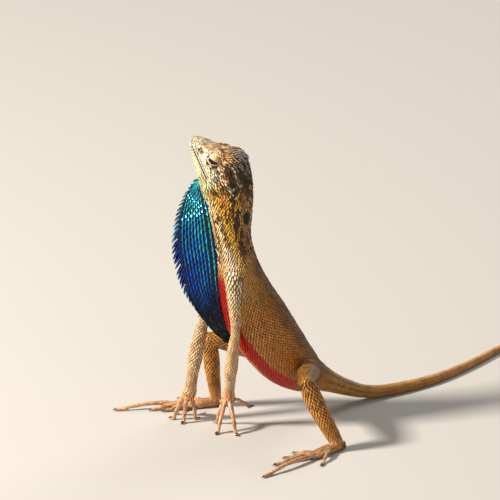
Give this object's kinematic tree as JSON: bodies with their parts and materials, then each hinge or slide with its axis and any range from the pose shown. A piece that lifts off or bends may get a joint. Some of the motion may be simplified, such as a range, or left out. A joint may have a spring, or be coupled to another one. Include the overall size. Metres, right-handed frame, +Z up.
{
  "type": "superb fan-throated lizard",
  "caption": "Life-size still model of an adult male superb fan-throated lizard standing high on its fore limbs with its blue throat fan spread.",
  "frame": {"origin": "centre of the whole model's bounding box at floor level", "axes": "+Z up, the lizard faces -Y with its tail laid towards +Y, and its left side is towards +X"},
  "size_m": [0.0608, 0.1692, 0.0742],
  "materials": {
    "scaled_skin": "matte scaled skin, tan and golden with dark blotches",
    "fan_skin": "satin keeled scales, blue to near black",
    "eye_surface": "glossy dark eye"
  },
  "bodies": {
    "root": {"head": "scaled_skin", "eye_left": "eye_surface", "eye_right": "eye_surface", "neck": "scaled_skin", "torso": "scaled_skin", "tail_base": "scaled_skin", "tail_middle": "scaled_skin", "tail_end": "scaled_skin", "tail_tip": "scaled_skin", "throat_fan": "fan_skin", "upper_arm_left": "scaled_skin", "forearm_left": "scaled_skin", "hand_left": "scaled_skin", "thigh_left": "scaled_skin", "shin_left": "scaled_skin", "foot_left": "scaled_skin", "upper_arm_right": "scaled_skin", "forearm_right": "scaled_skin", "hand_right": "scaled_skin", "thigh_right": "scaled_skin", "shin_right": "scaled_skin", "foot_right": "scaled_skin"}
  },
  "joints": []
}
